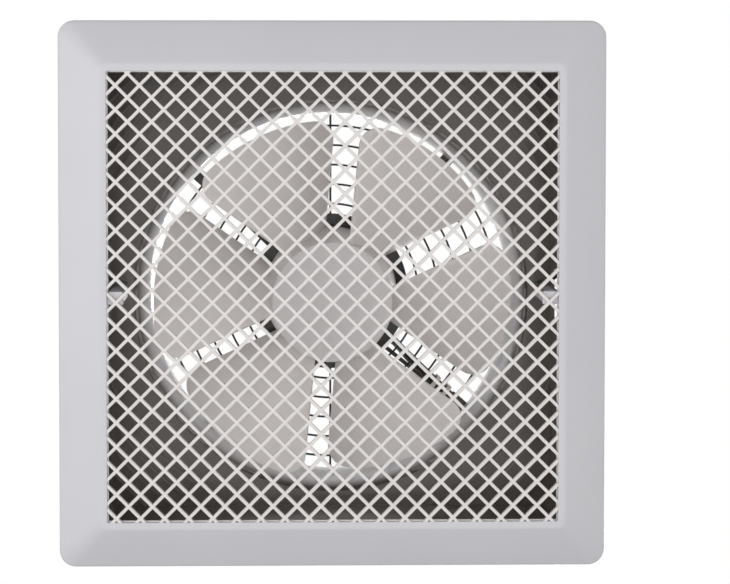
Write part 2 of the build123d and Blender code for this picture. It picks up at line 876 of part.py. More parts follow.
def motor_rear_shell():
    """The drawn shell on the void's side, vented, with the rear bearing's pocket."""
    wall_inner = motor_radius - shell_wall
    plate_low = motor_high - shell_wall
    pocket_low = plate_low - bearing_width - pocket_end_gap
    shell = turned_profile(
        (0, motor_high), (motor_radius, motor_high), (motor_radius, core_high),
        (wall_inner, core_high), (wall_inner, plate_low), (bearing_radius + pocket_wall, plate_low),
        (bearing_radius + pocket_wall, pocket_low), (bearing_radius, pocket_low),
        (bearing_radius, plate_low), (0, plate_low))
    shell = fillet(shell.edges().group_by(Axis.Z)[-1].sort_by(SortBy.RADIUS)[-1], shell_wall)
    vent = Pos(vent_circle, 0, motor_high) * extrude(
        SlotOverall(vent_length, vent_width), 2 * shell_wall, both=True)
    for step in range(vent_count):
        shell -= turned((step + 0.5) * 360 / vent_count, vent)
    for hole in bolt_holes(bolt_radius + screw_fit):
        shell -= hole
    bush_hole = Rot(0, 90, 0) * Cylinder(lead_radius + bush_wall, 6 * shell_wall)
    shell -= turned(lead_angle, Pos(motor_radius, 0, lead_exit) * bush_hole)
    return shell


def stator_core():
    """The laminated core, with a slot for each coil side and the bolts' holes."""
    core = sleeve(motor_radius, core_bore_radius, core_low, core_high)
    slot = span_block((slot_inner, slot_outer), (-slot_width / 2, slot_width / 2),
                      (core_low - 1, core_high + 1))
    mouth = span_block((core_bore_radius - 2, slot_inner + 1), (-slot_mouth / 2, slot_mouth / 2),
                       (core_low - 1, core_high + 1))
    for step in range(slot_count):
        core -= turned(step * 360 / slot_count + 180 / slot_count, slot + mouth)
    for hole in bolt_holes(bolt_radius + screw_fit):
        core -= hole
    return core


def stator_windings():
    """The copper coils: a side in each slot, and the end turns as a ring at each end."""
    inner = slot_inner + winding_fit
    outer = slot_outer - winding_fit
    half = slot_width / 2 - winding_fit
    low = core_low - winding_height
    high = core_high + winding_height
    coils = sleeve(outer, inner, low, core_low) + sleeve(outer, inner, core_high, high)
    side = span_block((inner + winding_fit, outer - winding_fit), (-half, half),
                      (core_low - 1, core_high + 1))
    angles = [(step + 0.5) * 360 / slot_count for step in range(slot_count)]
    return coils + [turned(angle, side) for angle in angles]


def thermal_fuse():
    """The fuse that lies on the rear end turns."""
    middle = (slot_inner + slot_outer) / 2
    height = core_high + winding_height + fuse_radius
    fuse = Pos(middle, 0, height) * Rot(90, 0, 0) * Cylinder(fuse_radius, fuse_length)
    return turned(fuse_angle, fuse)


def motor_bolts():
    """Four long bolts that hang the motor on the disc through rubber grommets."""
    head_seat = disc_low - grommet_lip
    length = motor_high + bolt_nut_height + bolt_overhang - head_seat
    one = Rot(180, 0, 0) * screw(bolt_radius, length, bolt_head_radius, bolt_head_height)
    return group([turned(angle, Pos(bolt_circle, 0, head_seat) * one) for angle in quarter_turns])


def motor_nuts():
    nut = hexagon(bolt_nut_flats, motor_high, motor_high + bolt_nut_height)
    nut -= disc(bolt_radius, motor_high - 1, motor_high + bolt_nut_height + 1)
    return group([turned(angle, Pos(bolt_circle, 0, 0) * nut) for angle in quarter_turns])


def motor_grommets():
    """Rubber grommets between the disc and the motor, one round each bolt."""
    low = disc_low - grommet_lip
    grommet = turned_profile(
        (bolt_radius + screw_fit, low), (grommet_radius, low), (grommet_radius, disc_low),
        (grommet_neck_radius, disc_low), (grommet_neck_radius, disc_high),
        (grommet_radius, disc_high), (grommet_radius, motor_low), (bolt_radius + screw_fit, motor_low))
    return group([turned(angle, Pos(bolt_circle, 0, 0) * grommet) for angle in quarter_turns])


def terminal_box():
    """The open box on the plate, turned so that one side faces the motor."""
    breadth = box_breadth / 2
    box = span_block((box_inner, box_outer), (-breadth, breadth), (plate_top, box_top))
    box -= span_block((box_inner + box_wall, box_outer - box_wall),
                      (-breadth + box_wall, breadth - box_wall), (box_floor, box_top + 1))
    for x, y in lid_screw_places():
        box += Pos(x, y, 0) * disc(post_radius, box_floor - 0.5, box_top)
    hole_radius = small_screw_radius + screw_fit
    for x, y in lid_screw_places():
        box -= Pos(x, y, 0) * disc(hole_radius, box_top - lid_screw_length, box_top + 1)
    floor_hole = disc(hole_radius, plate_top - 1, box_floor + 1)
    for offset in (box_screw_offset, -box_screw_offset):
        box -= Pos(box_middle, offset, 0) * floor_hole
    box -= Pos(box_middle + earth_offset, 0, 0) * floor_hole
    thin_hole = Rot(90, 0, 0) * Cylinder(thin_lead_radius + screw_fit, 4 * box_wall)
    box -= Pos(box_middle, breadth - box_wall / 2, plate_top + thin_lead_rise) * thin_hole
    gland_hole = Rot(90, 0, 0) * Cylinder(gland_neck_radius + screw_fit, 4 * box_wall)
    box -= Pos(box_middle, -breadth + box_wall / 2, plate_top + gland_height) * gland_hole
    side_hole = Rot(0, 90, 0) * Cylinder(lead_radius + screw_fit, 4 * box_wall)
    side_hole = turned(lead_angle, Pos(lead_entry(), 0, lead_level) * side_hole)
    return turned(box_angle, box) - side_hole


def lead_entry():
    """How far along its own line the motor's lead meets the middle of the box's inner wall."""
    return (box_inner + box_wall / 2) / math.cos(math.radians(guard_turn))


def lid_screw_places():
    """The lid's two screws, at opposite corners of the box."""
    inset = box_wall + post_radius - post_sink
    breadth = box_breadth / 2
    return [(box_inner + inset, -breadth + inset), (box_outer - inset, breadth - inset)]


def box_lid():
    breadth = box_breadth / 2
    lid = span_block((box_inner, box_outer), (-breadth, breadth), (box_top, box_top + lid_thickness))
    lid = chamfer(lid.edges().group_by(Axis.Z)[-1], lid_thickness / 3)
    for x, y in lid_screw_places():
        lid -= Pos(x, y, 0) * disc(small_screw_radius + screw_fit, box_top - 1, box_top + 5)
    return turned(box_angle, lid)


def lid_screws():
    one = screw(small_screw_radius, lid_screw_length, small_head_radius, small_head_height)
    height = box_top + lid_thickness
    return group([turned(box_angle, Pos(x, y, height) * one) for x, y in lid_screw_places()])


def box_screws():
    """Two screws that hold the box to the plate, with their heads on the box's floor."""
    length = box_floor - plate_height - plate_skin
    one = screw(small_screw_radius, length, small_head_radius, small_head_height)
    places = [Pos(box_middle, offset, box_floor) for offset in (box_screw_offset, -box_screw_offset)]
    return group([turned(box_angle, place * one) for place in places])


def terminal_places():
    first = -(block_terminals - 1) / 2 * terminal_spacing
    return [first + step * terminal_spacing for step in range(block_terminals)]


def terminal_block():
    """The moulded block, with a well for each clamping screw and a wire hole through it."""
    top = box_floor + block_height
    half = block_breadth / 2
    middle = box_middle + block_shift
    block = span_block((middle - block_length / 2, middle + block_length / 2),
                       (-half, half), (box_floor, top))
    for y in terminal_places():
        well = disc(terminal_screw_radius + screw_fit, top - block_height / 2, top + 1)
        block -= Pos(middle, y, 0) * well
        wire_hole = Rot(0, 90, 0) * Cylinder(wire_hole_radius, 2 * block_length)
        block -= Pos(middle, y, box_floor + block_height / 4) * wire_hole
    return turned(box_angle, block)


def terminal_screws():
    top = box_floor + block_height
    one = screw(terminal_thread_radius, terminal_screw_length, terminal_screw_radius,
                terminal_head_height)
    level = top - terminal_head_height - terminal_sink
    places = [Pos(box_middle + block_shift, y, level) for y in terminal_places()]
    return group([turned(box_angle, place * one) for place in places])


def earth_screw():
    """The earth terminal's screw, on the floor of the box beside the block."""
    one = screw(small_screw_radius, box_wall - earth_screw_gap, small_head_radius, earth_head_height)
    return turned(box_angle, Pos(box_middle + earth_offset, 0, box_floor) * one)


def cable_gland():
    """The mains inlet's gland, through the side of the box, with its nut inside."""
    reach = gland_length + box_wall + gland_nut_thickness
    hex_end = gland_hex_share * gland_length
    nut_end = -box_wall - gland_nut_thickness
    outside = hexagon(gland_flats, 0, hex_end)
    outside += disc(gland_cap_radius, hex_end - 0.5, gland_length)
    outside += disc(gland_neck_radius, nut_end, 0.5)
    outside += hexagon(gland_flats, nut_end, -box_wall)
    gland = outside - disc(gland_bore_radius, -reach, 2 * reach)
    place = Pos(box_middle, -box_breadth / 2, plate_top + gland_height) * Rot(90, 0, 0)
    return turned(box_angle, place * gland)


def tube(points, diameter):
    """A tube of straight runs and large arcs through these points."""
    corners = [Vector(*point) for point in points]
    radii = []
    for before, here, after in zip(corners, corners[1:], corners[2:]):
        turn = (here - before).get_angle(after - here)
        shorter = min((here - before).length, (after - here).length)
        radii.append(lead_arc_share * shorter / math.tan(math.radians(turn) / 2))
    path = FilletPolyline(*points, radius=radii)
    print("lead arcs", [round(radius, 1) for radius in radii])
    start = Plane(origin=points[0], z_dir=corners[1] - corners[0])
    return sweep(start * Circle(diameter / 2), path=path)


def motor_lead():
    """The motor's lead: out of the rear shell, down to an arm of the guard and into the box."""
    start = motor_radius - shell_wall - lead_start_inside
    first = motor_radius + lead_first_run
    second = first + lead_fall_run
    points = [
        (start, 0, lead_exit),
        (first, 0, lead_exit),
        (second, 0, lead_level),
        (lead_entry() + lead_end_inside, 0, lead_level),
    ]
    return turned(lead_angle, tube(points, lead_diameter))


def lead_bush():
    """The bush that guards the lead in the rear shell's wall."""
    outer = lead_radius + bush_wall
    inner = motor_radius - shell_wall - bush_lip
    bush = disc(outer - screw_fit / 2, inner, motor_radius + bush_lip)
    lip_low = motor_radius + bush_lip_gap
    bush += disc(outer + bush_lip_width, lip_low, lip_low + bush_lip)
    bush -= disc(lead_radius + screw_fit / 2, inner - 1, lip_low + bush_lip + 1)
    return turned(lead_angle, Pos(0, 0, lead_exit) * Rot(0, 90, 0) * bush)


def arm_reach(place):
    """How far each rod of a hairpin arm stands from the arm's middle line, at a distance out."""
    share = (place - arm_inner) / (arm_outer - arm_inner)
    return arm_inner_spread + share * (arm_outer_spread - arm_inner_spread)


def lead_ties():
    """Two bands that tie the lead to the hairpin arm under it."""
    low = arm_level - arm_diameter / 2 - seat_gap
    high = lead_level + lead_radius + seat_gap
    half = max(lead_radius, arm_reach(tie_places[0]) + arm_diameter / 2) + seat_gap
    ties = []
    for place in tie_places:
        outer = RectangleRounded(2 * half + 2 * tie_thickness, high - low + 2 * tie_thickness,
                                 lead_radius)
        inner = RectangleRounded(2 * half, high - low, lead_radius - tie_thickness)
        band = extrude(Plane.YZ * (outer - inner), tie_width)
        ties.append(turned(lead_angle, Pos(place, 0, (low + high) / 2) * band))
    return group(ties)


def capacitor():
    breadth = capacitor_length / 2
    case = span_block((capacitor_inner, capacitor_inner + capacitor_depth), (-breadth, breadth),
                      (capacitor_low, capacitor_low + capacitor_height))
    case = fillet(case.edges().filter_by(Axis.Z), capacitor_corner)
    return turned(capacitor_angle, case)


def capacitor_strap():
    """The steel strap over the capacitor, with one foot screwed to the plate."""
    near = capacitor_inner - strap_fit
    far = capacitor_inner + capacitor_depth + strap_fit
    top = capacitor_low + capacitor_height + strap_fit
    half = strap_width / 2
    strap = span_block((near - strap_thickness, far + strap_thickness), (-half, half),
                       (plate_top, top + strap_thickness))
    strap -= span_block((near, far), (-half - 1, half + 1), (plate_top - 1, top))
    strap += span_block((far, far + strap_thickness + strap_foot), (-half, half),
                        (plate_top, plate_top + strap_thickness))
    hole = disc(small_screw_radius + screw_fit, plate_top - 1, plate_top + 5)
    return turned(capacitor_angle, strap - Pos(capacitor_screw_place(), 0, 0) * hole)


def capacitor_screw():
    length = plate_thickness + strap_thickness - plate_skin
    one = screw(small_screw_radius, length, small_head_radius, small_head_height)
    return turned(capacitor_angle, Pos(capacitor_screw_place(), 0, plate_top + strap_thickness) * one)


def thin_lead_line():
    """How far from the fan's axis the capacitor lead's long run lies: midway between the ring's
    flange and the plate's edge."""
    return (ring_flange_radius + pan_half - fan_drop) / 2


def capacitor_lead():
    """The lead from the capacitor's end, along the +Y edge of the plate, into the box."""
    share = math.sqrt(0.5)
    level = plate_top + thin_lead_rise
    line = thin_lead_line()
    start_x = share * (capacitor_length / 2 - capacitor_middle)
    start_y = share * (capacitor_length / 2 + capacitor_middle)
    face_x = share * (box_middle - box_breadth / 2)
    face_y = share * (box_middle + box_breadth / 2)
    inside = share * thin_lead_inside
    points = [
        (start_x, start_y, level),
        (start_x + line - start_y, line, level),
        (face_x - line + face_y, line, level),
        (face_x + inside, face_y - inside, level),
    ]
    return tube(points, thin_lead_diameter)


def lead_saddles():
    """Two snap-in saddles that hold the capacitor's lead on the plate."""
    level = plate_top + thin_lead_rise
    block = Pos(0, 0, saddle_height / 2 + plate_top) * Box(saddle_length, saddle_width, saddle_height)
    hole = Rot(0, 90, 0) * Cylinder(thin_lead_radius + screw_fit, 2 * saddle_length)
    saddle = block - Pos(0, 0, level) * hole
    return group([Pos(x, thin_lead_line(), 0) * saddle for x in (-saddle_spread, saddle_spread)])


os.makedirs("parts", exist_ok=True)

square_pieces = {
    "front_frame": front_frame(),
    "grille_insert": grille_insert(),
    "housing_pan": housing_pan(),
    "clip_screws": clip_screws(),
    "spring_clip_right": spring_clip(1),
    "spring_clip_left": spring_clip(-1),
}

fan_pieces = {
    "orifice_ring": orifice_ring(),
    "ring_screws": ring_screws(),
    "rear_guard": rear_guard(),
    "guard_screws": guard_screws(),
    "impeller": impeller(),
    "hub_cap": hub_cap(),
    "impeller_washer": impeller_washer(),
    "impeller_nut": impeller_nut(),
    "motor_shaft": motor_shaft(),
    "drive_pin": drive_pin(),
    "rotor": rotor(),
    "front_bearing": bearing(front_bearing_low),
    "rear_bearing": bearing(rear_bearing_low),
    "motor_front_shell": motor_front_shell(),
    "motor_rear_shell": motor_rear_shell(),
    "stator_core": stator_core(),
    "stator_windings": stator_windings(),
    "thermal_fuse": thermal_fuse(),
    "motor_bolts": motor_bolts(),
    "motor_nuts": motor_nuts(),
    "motor_grommets": motor_grommets(),
    "terminal_box": terminal_box(),
    "box_lid": box_lid(),
    "lid_screws": lid_screws(),
    "box_screws": box_screws(),
    "terminal_block": terminal_block(),
    "terminal_screws": terminal_screws(),
    "earth_screw": earth_screw(),
    "cable_gland": cable_gland(),
    "motor_lead": motor_lead(),
    "lead_bush": lead_bush(),
    "lead_ties": lead_ties(),
    "capacitor": capacitor(),
    "capacitor_strap": capacitor_strap(),
    "capacitor_screw": capacitor_screw(),
    "capacitor_lead": capacitor_lead(),
    "lead_saddles": lead_saddles(),
}

for name, shape in square_pieces.items():
    save(name, list(shape.solids()))
for name, shape in fan_pieces.items():
    save(name, [about_fan(solid) for solid in shape.solids()])
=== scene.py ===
import math

import bmesh
import bpy
from mathutils import Matrix, Vector


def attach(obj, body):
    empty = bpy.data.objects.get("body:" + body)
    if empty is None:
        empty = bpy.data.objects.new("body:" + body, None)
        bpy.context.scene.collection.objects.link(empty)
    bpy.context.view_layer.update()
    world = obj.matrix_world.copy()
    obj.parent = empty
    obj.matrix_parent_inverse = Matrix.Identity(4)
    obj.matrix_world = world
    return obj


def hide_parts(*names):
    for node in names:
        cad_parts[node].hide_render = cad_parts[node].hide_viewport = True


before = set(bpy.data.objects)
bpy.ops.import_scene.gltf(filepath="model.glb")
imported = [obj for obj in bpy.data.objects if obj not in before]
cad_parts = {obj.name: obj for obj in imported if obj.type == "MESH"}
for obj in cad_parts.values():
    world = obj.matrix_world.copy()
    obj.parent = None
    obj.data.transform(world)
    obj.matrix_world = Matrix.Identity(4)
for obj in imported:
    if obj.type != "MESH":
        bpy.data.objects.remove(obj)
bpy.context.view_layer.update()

# Sizes are in millimetres, apart from the room's own, and in the frame's axes: +Z is up into the
# ceiling void, the grille faces -Z, and +Y is down in the photograph. Finished meshes are
# brought to metres.


# Camera
# It stands below the fan and a little towards the top of the picture, as the photograph's does:
# the deeper parts sit higher in the picture than the grille.
MM = 0.001
face_level = -20.0
camera_distance = 1000.0
camera_across = -24.7
camera_along = -130.6
camera_tilt = math.radians(1.5)
camera_turn = math.radians(0.8)
camera_lens = 75.56
camera_sensor = 36.0
camera_shift_across = 0.066
camera_shift_up = -0.2108

scene = bpy.context.scene
camera_data = bpy.data.cameras.new("camera")
camera_data.lens = camera_lens
camera_data.sensor_width = camera_sensor
camera_data.shift_x = camera_shift_across
camera_data.shift_y = camera_shift_up
camera = bpy.data.objects.new("camera", camera_data)
camera.location = Vector((camera_across, camera_along, face_level - camera_distance)) * MM
camera.rotation_euler = (math.pi - camera_tilt, camera_turn, 0.0)
scene.collection.objects.link(camera)
scene.camera = camera


# Room: floor, lamps and surroundings
# The floor lies a room's height below the ceiling. Nothing but the camera and mirror-like
# surfaces sees the white of the surroundings; the lamps and a softer grey light the fan. Every
# size here is in metres.
room_height = 2.6
floor_half = 6.0
floor_white = 0.6
full_white = (1.0, 1.0, 1.0, 1.0)
surround_light = 0.22
lamps = {
    "left_window": {"place": (-1.3, -0.1, -0.8), "size": 0.9, "power": 8.0},
    "right_window": {"place": (1.3, 0.1, -0.8), "size": 0.9, "power": 4.2},
    "room_fill": {"place": (-0.1, -0.15, -1.6), "size": 2.4, "power": 18.5},
    "void_light": {"place": (0.5, 0.6, 1.4), "size": 1.2, "power": 16.0},
}


def colour(hex_code):
    """The linear colour of an sRGB hex value."""
    values = []
    for place in (0, 2, 4):
        share = int(hex_code[place:place + 2], 16) / 255
        values.append(share / 12.92 if share <= 0.04045 else ((share + 0.055) / 1.055) ** 2.4)
    return (*values, 1.0)


def add_node(tree, kind, values=None, links=None, **settings):
    """One node with its settings, its input values and the sockets that feed it."""
    node = tree.nodes.new(kind)
    for name, value in settings.items():
        setattr(node, name, value)
    for name, value in (values or {}).items():
        node.inputs[name].default_value = value
    for name, source in (links or {}).items():
        tree.links.new(source, node.inputs[name])
    return node


scene.view_settings.view_transform = "Standard"
world = bpy.data.worlds.new("surroundings")
scene.world = world
world.use_nodes = True
world.node_tree.nodes.clear()
rays = add_node(world.node_tree, "ShaderNodeLightPath")
seen = add_node(world.node_tree, "ShaderNodeMath", operation="MAXIMUM",
                links={0: rays.outputs["Is Camera Ray"], 1: rays.outputs["Is Transmission Ray"]})
seen = add_node(world.node_tree, "ShaderNodeMath", operation="MAXIMUM",
                links={0: seen.outputs[0], 1: rays.outputs["Is Glossy Ray"]})
grey_light = add_node(world.node_tree, "ShaderNodeBackground",
                      values={"Color": full_white, "Strength": surround_light})
white_light = add_node(world.node_tree, "ShaderNodeBackground",
                       values={"Color": full_white, "Strength": 1.0})
surroundings = add_node(world.node_tree, "ShaderNodeMixShader",
                        links={0: seen.outputs[0], 1: grey_light.outputs[0], 2: white_light.outputs[0]})
add_node(world.node_tree, "ShaderNodeOutputWorld", links={"Surface": surroundings.outputs[0]})

for name, lamp in lamps.items():
    data = bpy.data.lights.new(name, "AREA")
    data.shape = "DISK"
    data.size = lamp["size"]
    data.energy = lamp["power"]
    light = bpy.data.objects.new(name, data)
    light.location = lamp["place"]
    light.rotation_euler = (-Vector(lamp["place"])).to_track_quat("-Z", "Y").to_euler()
    scene.collection.objects.link(light)

floor_paint = bpy.data.materials.new("matt_white_floor")
floor_paint.use_nodes = True
paint = floor_paint.node_tree.nodes["Principled BSDF"]
paint.inputs["Base Color"].default_value = colour("EDEDEC")
paint.inputs["Roughness"].default_value = 0.8
rays = add_node(floor_paint.node_tree, "ShaderNodeLightPath")
share = add_node(floor_paint.node_tree, "ShaderNodeMath", operation="MULTIPLY",
                 values={1: floor_white}, links={0: rays.outputs["Is Camera Ray"]})
glow = add_node(floor_paint.node_tree, "ShaderNodeEmission", values={"Color": full_white})
mixed = add_node(floor_paint.node_tree, "ShaderNodeMixShader",
                 links={0: share.outputs[0], 1: paint.outputs[0], 2: glow.outputs[0]})
output = floor_paint.node_tree.nodes["Material Output"]
floor_paint.node_tree.links.new(mixed.outputs[0], output.inputs["Surface"])

bm = bmesh.new()
bmesh.ops.create_grid(bm, x_segments=1, y_segments=1, size=floor_half)
bmesh.ops.translate(bm, verts=bm.verts, vec=(0, 0, -room_height))
floor_mesh = bpy.data.meshes.new("floor")
bm.to_mesh(floor_mesh)
bm.free()
floor_mesh.materials.append(floor_paint)
floor = bpy.data.objects.new("floor", floor_mesh)
scene.collection.objects.link(floor)


# Housing pan
# The square pan that the ceiling panel is clamped to: flange, four walls and a plate with ribbed
# corners, moulded in one piece of dark warm grey polypropylene with a half-gloss skin.
merge_distance = 0.002


def surface(name):
    """A new material with its tree and its shader."""
    material = bpy.data.materials.new(name)
    material.use_nodes = True
    tree = material.node_tree
    return material, tree, tree.nodes["Principled BSDF"]


def noise(tree, scale, detail):
    """The share, from 0 to 1, of a noise that stays with the piece."""
    place = add_node(tree, "ShaderNodeTexCoord").outputs["Object"]
    made = add_node(tree, "ShaderNodeTexNoise", values={"Scale": scale, "Detail": detail},
                    links={"Vector": place})
    return made.outputs["Fac"]


def blend_colours(tree, shader, share, first, second):
    """Blends the base colour from the first hex value to the second by this share."""
    first_input = 6
    second_input = 7
    colour_output = 2
    blend = add_node(tree, "ShaderNodeMix", data_type="RGBA", links={0: share})
    blend.inputs[first_input].default_value = colour(first)
    blend.inputs[second_input].default_value = colour(second)
    tree.links.new(blend.outputs[colour_output], shader.inputs["Base Color"])


def vary_roughness(tree, shader, share, low, high):
    """Takes the roughness from the low value to the high one by this share."""
    between = add_node(tree, "ShaderNodeMapRange", values={"To Min": low, "To Max": high},
                       links={"Value": share})
    tree.links.new(between.outputs[0], shader.inputs["Roughness"])


def add_bump(tree, shader, share, strength, depth):
    """Shades the surface as if it rose by this share of the depth in millimetres."""
    bump = add_node(tree, "ShaderNodeBump", values={"Strength": strength, "Distance": depth * MM},
                    links={"Height": share})
    tree.links.new(bump.outputs[0], shader.inputs["Normal"])


def moulded_plastic(name, light, dark, roughness, grain):
    """An injection-moulded plastic: a faint slow drift between two shades, and a fine skin.

    The skin is the mould's spark-eroded grain, of this size in millimetres.
    """
    unevenness = 0.06
    material, tree, shader = surface(name)
    blend_colours(tree, shader, noise(tree, scale=14.0, detail=3.0), dark, light)
    skin = noise(tree, scale=1 / (grain * MM), detail=2.0)
    vary_roughness(tree, shader, skin, roughness - unevenness, roughness + unevenness)
    add_bump(tree, shader, skin, strength=0.12, depth=0.05)
    shader.inputs["IOR"].default_value = 1.5
    return material


def finished(bm, name, material, smooth_degrees=32.0, drop=0.0):
    """The object of a mesh made in millimetres: merged, facing outwards, smooth where it curves.

    The drop moves it along +Y.
    """
    bmesh.ops.remove_doubles(bm, verts=bm.verts, dist=merge_distance)
    bmesh.ops.recalc_face_normals(bm, faces=bm.faces)
    bmesh.ops.translate(bm, verts=bm.verts, vec=(0, drop, 0))
    bmesh.ops.scale(bm, vec=(MM, MM, MM), verts=bm.verts)
    mesh = bpy.data.meshes.new(name)
    bm.to_mesh(mesh)
    bm.free()
    mesh.shade_smooth()
    mesh.set_sharp_from_angle(angle=math.radians(smooth_degrees))
    mesh.materials.append(material)
    piece = bpy.data.objects.new(name, mesh)
    scene.collection.objects.link(piece)
    return piece


def eased_copy(node, name, material, width, body, sharp_degrees=40):
    """A merged copy of a CAD node whose outer edges are eased by this many millimetres."""
    flat_degrees = 0.5
    bm = bmesh.new()
    bm.from_mesh(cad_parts[node].data)
    bmesh.ops.scale(bm, vec=(1 / MM, 1 / MM, 1 / MM), verts=bm.verts)
    bmesh.ops.remove_doubles(bm, verts=bm.verts, dist=merge_distance)
    bmesh.ops.dissolve_limit(bm, angle_limit=math.radians(flat_degrees), verts=bm.verts,
                             edges=bm.edges)
    sharp = [edge for edge in bm.edges
             if len(edge.link_faces) == 2 and edge.is_convex
             and edge.calc_face_angle(0) > math.radians(sharp_degrees)]
    bmesh.ops.bevel(bm, geom=sharp, offset=width, segments=2, profile=0.5, affect="EDGES",
                    material=-1, clamp_overlap=True)
    piece = finished(bm, name, material)
    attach(piece, body)
    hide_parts(node)


dark_polypropylene = moulded_plastic("dark_grey_polypropylene", "6B6561", "615C58", 0.32, 0.8)
eased_copy("housing_pan", "pan", dark_polypropylene, 0.4, "housing")


# Orifice ring
# The air's way through the plate: a deep bell mouth, a flange and a rear lip, moulded in one with
# four bosses for the guard's screws and held by four screws of its own. The fan's axis stands a
# little to +Y of the square's middle, and meshes made about it are moved there when finished.
fan_drop = 6.0
throat_radius = 125.0
bell_radius = 26.722
bell_low = 38.0
bell_high = 58.0
bell_rim_radius = 136.3
bell_front_runs = 14
bell_back_runs = 10
flange_radius = 143.1
flange_low = 40.5
flange_top = 42.9
ring_wall = 2.5
ring_round = 0.8
rear_lip_radius = 139.0
rear_lip_low = 58.6
rear_lip_top = 61.0
boss_circle = 134.8
boss_radius = 4.5
boss_low = 50.0
boss_top = 60.5
guard_angles = (-41.5, 48.5, 138.5, 228.5)

# Its smooth violet-grey polypropylene lets some of the void's light through the thin wall. The
# colour is painted from near-white at the throat to the pan's dark grey at the bell's outer edge, as
# in the photograph: a painted reflection of the bright void on the curving bell, fading into painted
# shade.
painted_reflection_until = 128.0
painted_shade_from = 134.0
scatter_depth = 8.0
ring_grain = 0.5

ring_polypropylene_with_painted_reflection, tree, shader = surface("violet_grey_polypropylene_with_painted_reflection")
place = add_node(tree, "ShaderNodeTexCoord").outputs["Object"]
from_axis = add_node(tree, "ShaderNodeMapping", links={"Vector": place},
                     values={"Location": (0, -fan_drop * MM, 0), "Scale": (1, 1, 0)})
how_far = add_node(tree, "ShaderNodeVectorMath", operation="LENGTH",
                   links={0: from_axis.outputs[0]})
painted_reflection_fade = add_node(tree, "ShaderNodeMapRange",
                values={"From Min": painted_reflection_until * MM, "From Max": painted_shade_from * MM},
                links={"Value": how_far.outputs["Value"]})
# Painted reflection and shade: near-white at the throat, dark grey at the bell's outer edge.
blend_colours(tree, shader, painted_reflection_fade.outputs[0], "F8F7FB", "5F5A56")
skin = noise(tree, scale=1 / (ring_grain * MM), detail=2.0)
vary_roughness(tree, shader, skin, 0.14, 0.22)
shader.inputs["Subsurface Weight"].default_value = 1.0
shader.inputs["Subsurface Radius"].default_value = (1.0, 1.0, 1.0)
shader.inputs["Subsurface Scale"].default_value = scatter_depth * MM
shader.inputs["Coat Weight"].default_value = 0.6
shader.inputs["Coat Roughness"].default_value = 0.08
shader.inputs["Coat IOR"].default_value = 1.7
shader.inputs["IOR"].default_value = 1.5


def rounded_profile(points):
    """The closed profile's points, with an arc of short runs at each corner that has a radius.

    A point is (distance out, corner radius of a square or 0, level, radius of the arc).
    """
    runs = 4
    made = []
    for index, (out, corner, level, radius) in enumerate(points):
        if radius == 0:
            made.append((out, corner, level))
            continue
        tip = Vector((out, corner, level))
        ways = [Vector(points[near % len(points)][:3]) - tip for near in (index - 1, index + 1)]
        flat = [Vector((way.x, way.z)) for way in ways]
        reach = radius / math.tan(flat[0].angle(flat[1]) / 2)
        start, end = [tip + way * (reach / side.length) for way, side in zip(ways, flat)]
        for step in range(runs + 1):
            share = step / runs
            point = start * (1 - share) ** 2 + tip * 2 * share * (1 - share) + end * share ** 2
            made.append(tuple(point))
    return made


def spun(bm, points, steps):
    """A solid of revolution about the axis, from a closed profile of (radius, level, rounding)."""
    outline = rounded_profile([(radius, 0, level, rounding) for radius, level, rounding in points])
    verts = [bm.verts.new(point) for point in outline]
    edges = [bm.edges.new((a, b)) for a, b in zip(verts, verts[1:] + verts[:1])]
    bmesh.ops.spin(bm, geom=verts + edges, cent=(0, 0, 0), axis=(0, 0, 1), dvec=(0, 0, 0),
                   angle=math.tau, steps=steps, use_merge=True)


def turn_about_axis(bm, verts, degrees):
    """Turns points counter-clockwise as the room sees them, which is about -Z."""
    turn = Matrix.Rotation(-math.radians(degrees), 3, "Z")
    bmesh.ops.rotate(bm, verts=verts, cent=(0, 0, 0), matrix=turn)


def rod(bm, start, end, radius, sides=12):
    """A straight round rod from one point to another."""
    way = Vector(end) - Vector(start)
    made = bmesh.ops.create_cone(bm, cap_ends=True, segments=sides, radius1=radius, radius2=radius,
                                 depth=way.length)["verts"]
    bmesh.ops.rotate(bm, verts=made, matrix=way.to_track_quat("Z", "Y").to_matrix())
    bmesh.ops.translate(bm, verts=made, vec=(Vector(start) + Vector(end)) / 2)
    return made


def bell_arc(radius, low, high, runs):
    """Points up the bell mouth's curve, which ends upright at its top."""
    centre = throat_radius + bell_radius
    points = []
    for step in range(runs + 1):
        level = low + (high - low) * step / runs
        points.append((centre - math.sqrt(radius ** 2 - (bell_high - level) ** 2), level, 0))
    return points


bm = bmesh.new()
spun(bm, bell_arc(bell_radius, bell_low, bell_high, bell_front_runs) + [
    (throat_radius, rear_lip_top, ring_round),
    (rear_lip_radius, rear_lip_top, ring_round),
    (rear_lip_radius, rear_lip_low, ring_round),
    (throat_radius + ring_wall, rear_lip_low, 0),
] + bell_arc(bell_radius - ring_wall, flange_top, bell_high, bell_back_runs)[::-1] + [
    (flange_radius, flange_top, ring_round),
    (flange_radius, flange_low, 0.3),
    (bell_rim_radius, flange_low, 0),
    (bell_rim_radius, bell_low, 0.1),
], steps=160)
for angle in guard_angles:
    boss = rod(bm, (boss_circle, 0, boss_low), (boss_circle, 0, boss_top), boss_radius, sides=32)
    turn_about_axis(bm, boss, angle)
ring = finished(bm, "bell_mouth", ring_polypropylene_with_painted_reflection, drop=fan_drop)
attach(ring, "housing")
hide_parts("orifice_ring")


